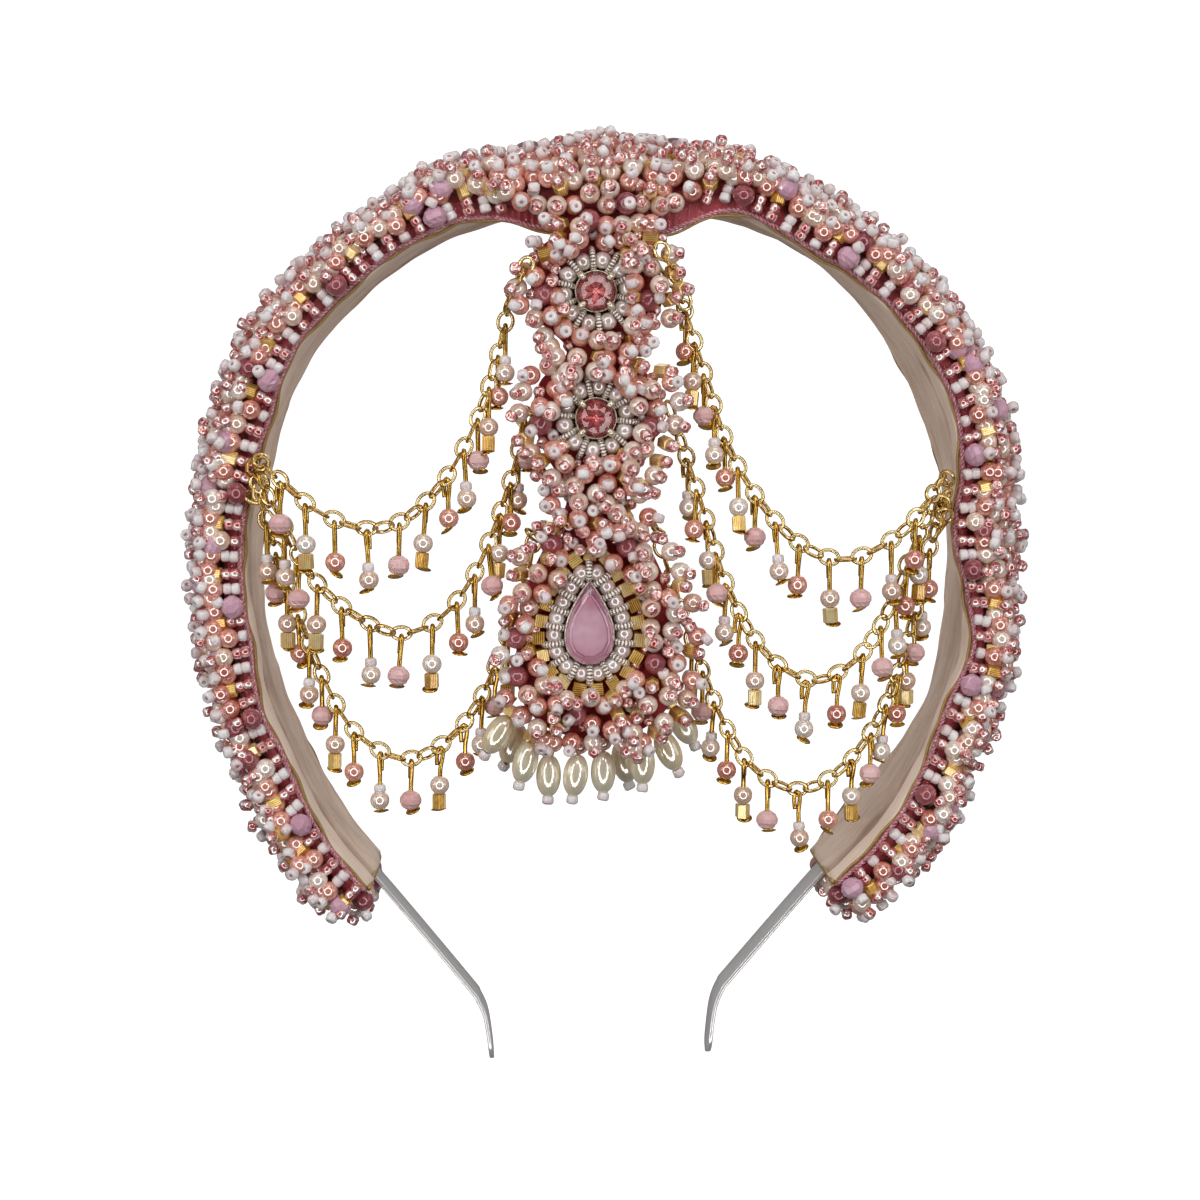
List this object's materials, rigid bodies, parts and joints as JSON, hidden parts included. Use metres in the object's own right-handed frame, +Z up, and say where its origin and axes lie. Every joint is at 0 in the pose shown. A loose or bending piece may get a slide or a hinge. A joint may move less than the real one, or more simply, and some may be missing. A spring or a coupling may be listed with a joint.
{
  "type": "maang tikka headband",
  "caption": "Padded headband on a steel strip, covered in small beads, with a jewelled three-lobed forehead pendant and swags of beaded drop chain at each side.",
  "frame": {"origin": "middle of the arch on the inner face of the lining, where the band sits on top of the head", "axes": "+Z up, the forehead side with the pendant faces -Y, +X is the wearer's left; the arch lies in the XZ plane"},
  "size_m": [0.1444, 0.04, 0.1644],
  "materials": {
    "steel": "satin steel strip, lightly brushed along its length",
    "suede": "beige microfibre suede, matt",
    "rose_fabric": "dark rose fabric over padding, with a metallic pink yarn trim and a thin gold cord along its front edge",
    "rose_felt": "dark rose stiffened felt",
    "mixed_beads": "mixed beads: pink silver-lined crystal seeds, white seeds, cream and rose pearls, gold hex tubes, lilac and mauve faceted rounds",
    "dark_rose_glass": "smoky dark rose glass cabochon",
    "rose_glass": "salmon-rose cut glass, foiled back",
    "pink_glass": "light pink cut glass, foiled back",
    "brass_setting": "pale gold prong setting",
    "grey_pearl": "small grey-white pearls with silver bullion wire loops between them",
    "gold_bead": "gold cube beads, satin",
    "ivory_pearl": "ivory oval pearls with white seeds at their tips",
    "gold_chain": "light gold cable chain, antique gold eye pins, pink, cream, rose and gold beads on the drops"
  },
  "bodies": {
    "root": {"steel_band": "steel", "lining": "suede", "band_pad": "rose_fabric", "band_bead_crust": "mixed_beads", "top_cabochon_left": "dark_rose_glass", "top_cabochon_right": "dark_rose_glass", "pendant_backing": "rose_felt", "crust_upper": "mixed_beads", "crust_middle": "mixed_beads", "crust_lower": "mixed_beads", "round_stone_upper": "rose_glass", "round_stone_middle": "rose_glass", "setting_upper": "brass_setting", "setting_middle": "brass_setting", "pear_stone": "pink_glass", "pearl_ring_upper": "grey_pearl", "pearl_ring_middle": "grey_pearl", "pearl_ring_lower": "grey_pearl", "gold_cube_ring": "gold_bead", "oval_pearl_01": "ivory_pearl", "oval_pearl_02": "ivory_pearl", "oval_pearl_03": "ivory_pearl", "oval_pearl_04": "ivory_pearl", "oval_pearl_05": "ivory_pearl", "oval_pearl_06": "ivory_pearl", "oval_pearl_07": "ivory_pearl", "oval_pearl_08": "ivory_pearl", "oval_pearl_09": "ivory_pearl", "oval_pearl_10": "ivory_pearl", "chain_left_1": "gold_chain", "chain_left_2": "gold_chain", "chain_left_3": "gold_chain", "chain_right_1": "gold_chain", "chain_right_2": "gold_chain", "chain_right_3": "gold_chain"}
  },
  "joints": []
}
